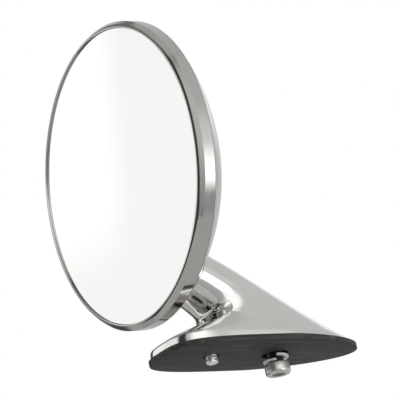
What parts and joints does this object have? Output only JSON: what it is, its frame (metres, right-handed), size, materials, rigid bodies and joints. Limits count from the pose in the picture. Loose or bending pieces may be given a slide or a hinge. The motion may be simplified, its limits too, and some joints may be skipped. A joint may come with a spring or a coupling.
{
  "type": "exterior door mirror",
  "caption": "Round chrome exterior door mirror: domed head with rolled rim and flat glass on a ball joint, in a swept teardrop base with rubber gasket, fixing screw and locating pin.",
  "frame": {"origin": "on the underside of the base gasket, on the line from the locating pin to the fixing screw, 15.8 mm from the pin and 13.2 mm from the screw", "axes": "+Z out of the door skin, square to the mounting face; +X towards the base's pointed tail; the mirror glass faces -X"},
  "size_m": [0.0943, 0.1194, 0.1415],
  "materials": {
    "chrome": "polished chrome plate",
    "mirror": "silvered flat glass",
    "rubber": "black moulded sheet",
    "zinc_steel": "dull zinc plate",
    "bright_steel": "turned bright steel",
    "brass": "turned brass",
    "nylon": "natural nylon",
    "felt": "grey felt sheet"
  },
  "bodies": {
    "base": {"base_casting": "chrome", "base_gasket": "rubber", "socket_key": "chrome", "mounting_screw": "zinc_steel", "spring_washer": "zinc_steel", "locating_pin": "bright_steel", "tension_screw": "zinc_steel", "socket_retainer": "brass", "pressure_cup": "brass", "pressure_spring": "bright_steel"},
    "pan_liner": {"rear_ball_liner": "nylon"},
    "tilt_liner": {"front_ball_liner": "nylon"},
    "head": {"ball_stud": "bright_steel", "stud_plate": "zinc_steel", "stud_washer": "zinc_steel", "stud_nut": "zinc_steel", "plate_rivet_1": "zinc_steel", "plate_rivet_2": "zinc_steel", "plate_rivet_3": "zinc_steel", "back_shell": "chrome", "rim_bezel": "chrome", "glass_seal": "rubber", "mirror_glass": "mirror", "backing_pad": "felt"}
  },
  "joints": [
    {"name": "head_pan", "type": "hinge", "parent": "base", "child": "pan_liner", "pos_m": [-0.0137, 0, 0.0279], "axis": [0, 0, 1], "range_deg": [-6, 6]},
    {"name": "head_tilt", "type": "hinge", "parent": "pan_liner", "child": "tilt_liner", "pos_m": [-0.0137, 0, 0.0279], "axis": [0, 1, 0], "range_deg": [-4, 9]},
    {"name": "head_spin", "type": "hinge", "parent": "tilt_liner", "child": "head", "pos_m": [-0.0137, 0, 0.0279], "axis": [-0.875, 0, 0.4842], "range_deg": [-45, 45]}
  ]
}
